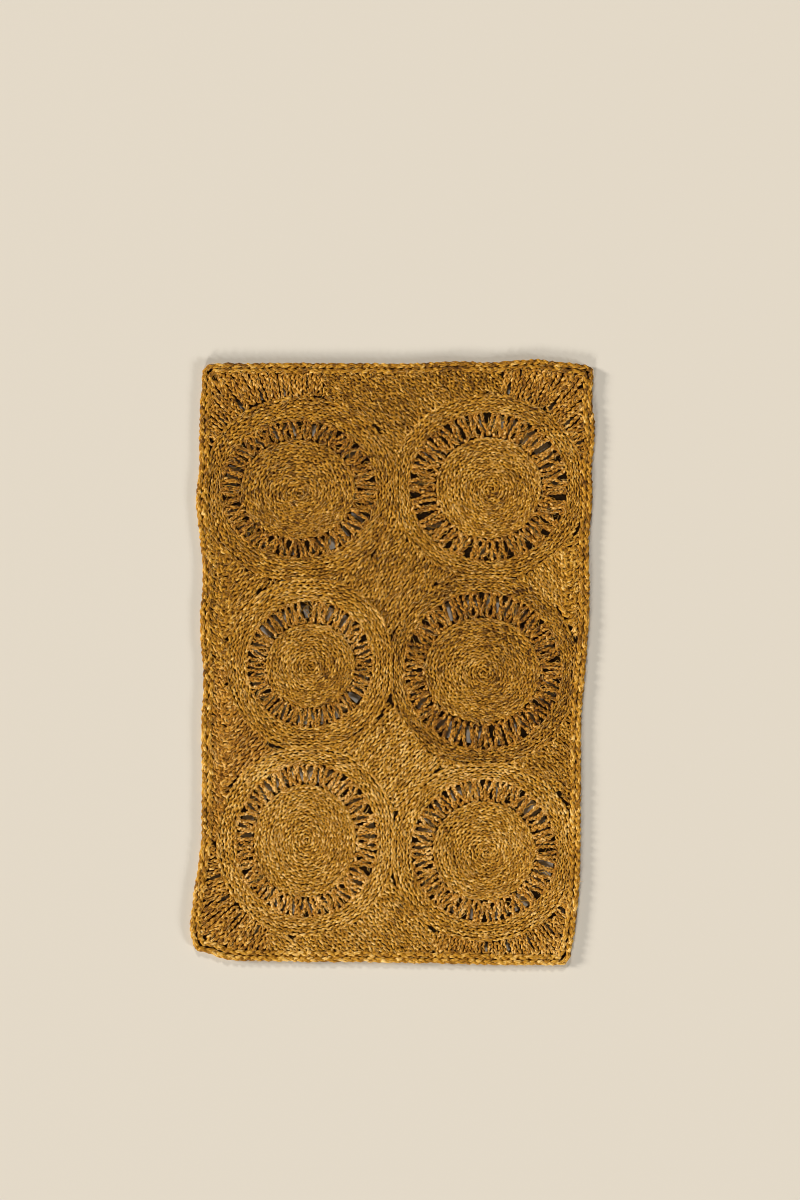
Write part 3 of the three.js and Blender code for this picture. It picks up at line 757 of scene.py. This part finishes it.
def addZigzag(bundle, legs, seed, tone, warmth=0.0):
    # Joins neighbouring legs end to end with round turns, and plaits along them
    paths = []
    path = []
    forward = True
    for runs in legs:
        if not runs:
            continue
        runs = sorted(runs, key=len)
        for spare in runs[:-1]:
            if len(spare) > infill["spareFrom"]:
                paths.append([spare[::6]])
        leg = runs[-1] if forward else runs[-1][::-1]
        if path and np.hypot(*(path[-1][-1, :2] - leg[0, :2])) > infill["joinWithin"]:
            paths.append(path)
            path = []
        count = max(3, round(len(leg) / infill["pointEvery"]))
        ends = np.linspace(0, len(leg) - 1, count).astype(int)
        path.append(leg[ends])
        forward = not forward
    paths.append(path)
    for number, path in enumerate(paths):
        points = []
        for index, leg in enumerate(path):
            points.extend(leg)
            if index + 1 < len(path):
                ahead = unit(leg[-1:, :2] - leg[-2:-1, :2])[0]
                turn = (leg[-1] + path[index + 1][0]) / 2
                turn[:2] += infill["bulge"] * turn[2] * ahead
                points.append(turn)
        if len(points) > 2:
            line = throughPoints(points, perSpan=5)
            addPlait(bundle, line, seed + 31 * number, tone=tone, warmth=warmth, crossing=infill["cycle"])


def addPanel(bundle, row, seed):
    pitch = plait["rowPitch"]
    west, east = row["x"]
    south, north = row["y"]
    reachOut = math.hypot(east - west, north - south) / 2 + 20
    t = np.arange(0, reachOut, 1.0)
    legs = []
    if "fold" in row:
        outward, inward = math.radians(row["rows"]), math.radians(row["inner"])
        spacing = pitch / ((abs(math.cos(outward)) + abs(math.cos(inward))) / 2)
        for y in np.arange(south - reachOut, north, spacing):
            outer, inner = (
                np.stack([row["fold"] + t * math.cos(angle), y + t * math.sin(angle)], axis=1)
                for angle in (outward, inward))
            spine = np.vstack([outer[:2:-1], inner[3:]])
            fromFold = (spine[:, 0] - row["fold"]) / infill["foldReach"]
            spread = 1 + infill["foldSpread"] * np.exp(-fromFold ** 2)
            line = np.column_stack([spine, pitch * infill["overlap"] * spread])
            legs.append(clearRuns(line, row, infill["endRoom"]))
    else:
        angle = math.radians(row["rows"])
        along = np.concatenate([-t[:0:-1], t])
        middleX, middleY = (west + east) / 2, (south + north) / 2
        for offset in np.arange(-reachOut, reachOut, pitch):
            bow = offset + infill["sway"] * np.sin(along / infill["swayLength"] + seed)
            line = np.stack([
                middleX + along * math.cos(angle) - bow * math.sin(angle),
                middleY + along * math.sin(angle) + bow * math.cos(angle),
                np.full(len(along), pitch * infill["overlap"]),
            ], axis=1)
            legs.append(clearRuns(line, row, infill["endRoom"]))
    addZigzag(bundle, legs, seed, row["tone"], row.get("warmth", 0))


def addFan(bundle, row, seed):
    hub = medallions[row["medallion"]]
    radius = np.arange(fan["near"], fan["far"], 1.0)
    perGap = math.radians(fan["gaps"][1] - fan["gaps"][0])
    step = perGap / fan["legsPerGap"]
    facing = math.radians(row["facing"])
    count = round(math.radians(fan["spread"]) / step / 2)
    legs = []
    for leg in range(-count, count):
        drift = fan["drift"] * (uneven(leg, seed) + np.sin(radius / 13 + 1.7 * leg)) / 2
        angle = facing + (leg + 0.5 + drift) * step
        squeeze = np.ones(len(radius))
        for index, degrees in enumerate(fan["gaps"]):
            gapAngle = facing + math.radians(degrees)
            hoopEdge = np.interp(gapAngle % (2 * math.pi), hoopAngles, hub["edge"], period=2 * math.pi)
            start = hoopEdge + fan["clear"] + uneven(index, row["medallion"])
            end = start + fan["length"] + 2 * uneven(index, row["medallion"] + 7)
            along = np.clip((radius - start) / (end - start), 0, 1)
            width = fan["width"] + (fan["outerWidth"] - fan["width"]) * along
            beyond = np.maximum(start - radius, radius - end)
            opening = fan["opening"] * width * np.clip(1 - beyond / fan["fade"], 0, 1)
            away = (facing + (leg + 0.5) * step - gapAngle) * radius
            fade = np.exp(-np.abs(away) / fan["fade"])
            angle += np.sign(away) * opening * fade / radius
            squeeze -= opening * fade / fan["fade"]
        width = np.clip(radius * step * fan["overlap"] * squeeze, *fan["legWidths"])
        line = roundLine(hub["at"], radius, angle, width)
        runs = clearRuns(line, row, infill["fanRoom"])
        if max(map(len, runs), default=0) < fan["shortFrom"]:
            runs = clearRuns(line, row, infill["endRoom"])
        legs.append(runs)
    addZigzag(bundle, legs, seed, row["tone"], fan["warmth"])


# Border: two rows sewn round the edge
border = {
    "rowInsets": (4.3, 12.3),
    "rowWidth": 10.3,
    "cycle": 3.7,  # in plait widths
    "tone": 0.50,
    # Painted light: the rows' tone rises towards the rug's bottom end and falls into painted shade at its
    # top
    "paintedLightSlope": 0.09,  # towards the rug's bottom end
    "metresLong": 3.03,  # once round, along its middle
    "insideShare": (0.9935, 0.9957),  # on X and Y, so that what is inside stays under the rows
}


def addBorder(bundle, seed):
    for index, inset in enumerate(border["rowInsets"]):
        spine, _ = evenSteps(rugLine(inset), 3, closed=True)
        line = np.column_stack([spine, np.full(len(spine), border["rowWidth"])])
        addPlait(bundle, line, seed + index, closed=True, tone=border["tone"],
                 crossing=border["cycle"], paintedLightSlope=border["paintedLightSlope"])


# Materials

def linear(hexColour):
    values = []
    for i in (0, 2, 4):
        channel = int(hexColour[i:i + 2], 16) / 255
        values.append(channel / 12.92 if channel <= 0.04045 else ((channel + 0.055) / 1.055) ** 2.4)
    return (*values, 1)


def addNode(tree, kind, settings=None, links=None, stops=None):
    node = tree.nodes.new(kind)
    for name, value in (settings or {}).items():
        if isinstance(name, int) or name in node.inputs:
            node.inputs[name].default_value = value
        else:
            setattr(node, name, value)
    for name, source in (links or {}).items():
        tree.links.new(source, node.inputs[name])
    if stops:
        ramp = node.color_ramp
        ramp.elements[0].position, ramp.elements[-1].position = stops[0][0], stops[-1][0]
        for position, colour in stops[1:-1]:
            ramp.elements.new(position)
        for element, (position, colour) in zip(ramp.elements, stops):
            element.color = linear(colour)
    return node


def emptyMaterial(name):
    material = bpy.data.materials.new(name)
    material.use_nodes = True
    material.node_tree.nodes.clear()
    return material, material.node_tree


# Jute, retted and spun, plaited by hand: dry golden straw, with paler and deeper fibres at random and a
# faint silk along the fibre. Painted shade darkens the strands to brown where they dip into the recesses
juteLook = {
    "shades": [(0.0, "472a03"), (0.3, "8c5e09"), (0.5, "b07c12"), (0.75, "cd9d34"), (1.0, "f0cc80")],
    "warmShades": [(0.0, "402405"), (0.3, "865309"), (0.5, "ac7118"), (0.75, "cf9640"), (1.0, "f4cc88")],
    # The next colour is painted shade, which the strands darken to where they dip between each other
    "paintedShadeColour": "241302",
    "fibreWidth": 1.2,  # mm. Real fibres are finer, and these are as coarse as they need to show.
    "fibreLength": 7,  # mm
    "fibreTones": 0.32,  # how unlike in tone the fibres are
    "patch": 70,  # mm across, where the jute is paler or deeper
    "patchTones": 0.09,
    "recessShade": 0.12,  # what is left of a strand's own colour in the deepest recess
    "roughness": 0.6,
    "specular": 0.2,
    "sheen": 0.03,
    "bump": 0.35,  # mm deep
}


def addRange(tree, value, start, end):
    # Takes values from the one range to the other
    limits = {"From Min": start[0], "From Max": start[1], "To Min": end[0], "To Max": end[1]}
    return addNode(tree, "ShaderNodeMapRange", limits, {"Value": value}).outputs["Result"]


def plaitedJute(name):
    material, tree = emptyMaterial(name)
    tone, shadeDepth, warmth = (
        addNode(tree, "ShaderNodeAttribute", {"attribute_name": title}).outputs["Fac"]
        for title in ("tone", "shadeDepth", "warmth"))
    place = addNode(tree, "ShaderNodeTexCoord").outputs["Object"]
    strand = addNode(tree, "ShaderNodeUVMap", {"uv_map": "alongStrand"}).outputs["UV"]
    stretched = addNode(tree, "ShaderNodeVectorMath", {
        "operation": "MULTIPLY", 1: (1 / juteLook["fibreLength"], 1 / juteLook["fibreWidth"], 1),
    }, {0: strand}).outputs["Vector"]
    fibre = addNode(tree, "ShaderNodeTexNoise", {
        "Scale": 1, "Detail": 3, "Roughness": 0.6,
    }, {"Vector": stretched}).outputs["Fac"]
    patch = addNode(tree, "ShaderNodeTexNoise", {
        "Scale": 1 / (juteLook["patch"] * mm), "Detail": 2,
    }, {"Vector": place}).outputs["Fac"]
    fibreTones, patchTones = juteLook["fibreTones"], juteLook["patchTones"]
    toned = tone
    for shift in (addRange(tree, fibre, (0.35, 0.65), (-fibreTones, fibreTones)),
                  addRange(tree, patch, (0.3, 0.7), (-patchTones, patchTones))):
        toned = addNode(tree, "ShaderNodeMath", {"operation": "ADD"}, {0: toned, 1: shift}).outputs[0]
    golden = addNode(tree, "ShaderNodeValToRGB", {}, {"Fac": toned}, juteLook["shades"])
    warm = addNode(tree, "ShaderNodeValToRGB", {}, {"Fac": toned}, juteLook["warmShades"])
    mixed = addNode(tree, "ShaderNodeMix", {"data_type": "RGBA"}, {
        "Factor": warmth, 6: golden.outputs["Color"], 7: warm.outputs["Color"],
    }).outputs[2]
    # Painted shade: corners low down near the plait's middle take on the shade colour, ridges keep their
    # own
    height = addNode(tree, "ShaderNodeMath", {"operation": "ABSOLUTE"}, {0: shadeDepth}).outputs[0]
    paintedShadeMix = addRange(tree, height, (0.05, 0.6), (juteLook["recessShade"], 1))
    shaded = addNode(tree, "ShaderNodeMix", {
        "data_type": "RGBA", 6: linear(juteLook["paintedShadeColour"]),
    }, {"Factor": paintedShadeMix, 7: mixed}).outputs[2]
    relief = addNode(tree, "ShaderNodeBump", {
        "Strength": 1, "Distance": juteLook["bump"] * mm,
    }, {"Height": fibre}).outputs["Normal"]
    shader = addNode(tree, "ShaderNodeBsdfPrincipled", {
        "Roughness": juteLook["roughness"], "Sheen Weight": juteLook["sheen"],
        "Specular IOR Level": juteLook["specular"],
    }, {"Base Color": shaded, "Normal": relief})
    addNode(tree, "ShaderNodeOutputMaterial", {}, {"Surface": shader.outputs["BSDF"]})
    return material


# Packed jute inside the rows, coloured near-black as painted shade: it shows only in the nicks between
# strands
packedShadeLook = {
    "shades": [(0.3, "120c03"), (0.7, "2c1d08")],
    "grain": 2.5,  # mm
    "roughness": 0.9,
    "specular": 0.1,
}


def packedJuteShade():
    material, tree = emptyMaterial("packedJuteShade")
    place = addNode(tree, "ShaderNodeTexCoord").outputs["Object"]
    grain = addNode(tree, "ShaderNodeTexNoise", {
        "Scale": 1 / (packedShadeLook["grain"] * mm), "Detail": 3,
    }, {"Vector": place}).outputs["Fac"]
    colour = addNode(tree, "ShaderNodeValToRGB", {}, {"Fac": grain}, packedShadeLook["shades"])
    shader = addNode(tree, "ShaderNodeBsdfPrincipled", {
        "Roughness": packedShadeLook["roughness"], "Specular IOR Level": packedShadeLook["specular"],
    }, {"Base Color": colour.outputs["Color"]})
    addNode(tree, "ShaderNodeOutputMaterial", {}, {"Surface": shader.outputs["BSDF"]})
    return material


slotOf = {"medallion": "jute_medallion", "panel": "jute_panel", "corner": "jute_corner",
          "border": "jute_border"}
finishes = {kind: plaitedJute("plaitedJute_" + kind) for kind in slotOf}
packedShade = packedJuteShade()
inside = {"low": 3.5, "high": 4.5, "rugHeight": 8}  # mm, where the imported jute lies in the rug


def addPiece(name, mesh, material):
    mesh.materials.clear()
    mesh.materials.append(material)
    piece = addObject(name, mesh)
    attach(piece, "root")
    return piece


def addInside(node):
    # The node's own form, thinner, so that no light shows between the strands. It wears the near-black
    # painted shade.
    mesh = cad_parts[node].data.copy()
    mesh.name = node + "_inside"
    points = np.empty(len(mesh.vertices) * 3, np.float32)
    mesh.vertices.foreach_get("co", points)
    points = points.reshape(-1, 3)
    top = inside["rugHeight"] * mm
    points[:, 2] = inside["low"] * mm + points[:, 2] / top * (inside["high"] - inside["low"]) * mm
    if node == "border":
        points[:, :2] *= border["insideShare"]
    mesh.vertices.foreach_set("co", points.reshape(-1))
    mesh.update()
    piece = addPiece(node + "_inside", mesh, packedShade)
    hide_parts(node)
    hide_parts(node)


def buildPiece(node, kind, fill):
    bundle = Bundle()
    fill(bundle)
    rows = addPiece(node + "_rows", bundle.mesh(node + "_rows"), finishes[kind])
    addInside(node)
    print(node, "triangles", 2 * sum(len(f) for f in bundle.faces))


def addMedallion(bundle, row, index):
    addDisc(bundle, row, 100 + index)
    addOpenwork(bundle, row, 200 + index, index + 1)
    addHoop(bundle, row, 300 + 10 * index)


for index, row in enumerate(medallions):
    buildPiece(row["node"], "medallion", lambda bundle: addMedallion(bundle, row, index))
for index, row in enumerate(panels):
    buildPiece(row["node"], "panel", lambda bundle: addPanel(bundle, row, 400 + index))
for index, row in enumerate(fans):
    buildPiece(row["node"], "corner", lambda bundle: addFan(bundle, row, 500 + index))
buildPiece("border", "border", lambda bundle: addBorder(bundle, 600))
print("rug plaited")

# Pale plain floor and soft warm light. The lights are from the left, the top, the bottom and the
# right. All but the second are low, so that the gaps stay dark, and that one is higher, so that
# some light reaches the floor in the widest ones.
studio = {
    "floor": "d7d7d2",
    "floorRoughness": 0.85,  # matt paint, an even ground with no shine
    "floorHalf": 40,  # metres
    "lights": [
        {"from": (-1.0, 0.2, 0.32), "softness": 11, "strength": 3.8, "colour": "fff2e2"},
        {"from": (-0.12, 1.0, 0.75), "softness": 9, "strength": 1.3, "colour": "fff4e6"},
        {"from": (-0.3, -1.0, 0.34), "softness": 11, "strength": 2.6, "colour": "fff4e6"},
        {"from": (0.83, -0.56, 0.34), "softness": 11, "strength": 2.0, "colour": "fff8f0"},
    ],
    "world": ("ffe6c4", 0.05),
    "filterWidth": 1.0,  # pixels, so that single strands stay crisp
}


def addLight(name, setting):
    # A wide light far off: softness is how wide it looks from the rug, in degrees
    data = bpy.data.lights.new(name, "SUN")
    data.angle = math.radians(setting["softness"])
    data.energy = setting["strength"]
    data.color = linear(setting["colour"])[:3]
    light = addObject(name, data)
    light.location = setting["from"]
    light.rotation_euler = light.location.to_track_quat("Z", "Y").to_euler()


def addStage():
    for index, setting in enumerate(studio["lights"]):
        addLight("light" + str(index), setting)
    world = bpy.data.worlds.new("studio")
    world.use_nodes = True
    background = world.node_tree.nodes["Background"]
    background.inputs["Color"].default_value = linear(studio["world"][0])
    background.inputs["Strength"].default_value = studio["world"][1]
    bpy.context.scene.world = world
    half = studio["floorHalf"]
    mesh = bpy.data.meshes.new("floor")
    mesh.from_pydata([(-half, -half, 0), (half, -half, 0), (half, half, 0), (-half, half, 0)],
                     [], [(0, 1, 2, 3)])
    material = bpy.data.materials.new("paintedFloor")
    material.use_nodes = True
    shader = material.node_tree.nodes["Principled BSDF"]
    shader.inputs["Base Color"].default_value = linear(studio["floor"])
    shader.inputs["Roughness"].default_value = studio["floorRoughness"]
    mesh.materials.append(material)
    addObject("floor", mesh)
    bpy.context.scene.view_settings.view_transform = "Standard"
    bpy.context.scene.cycles.filter_width = studio["filterWidth"]


addStage()
print("stage set")
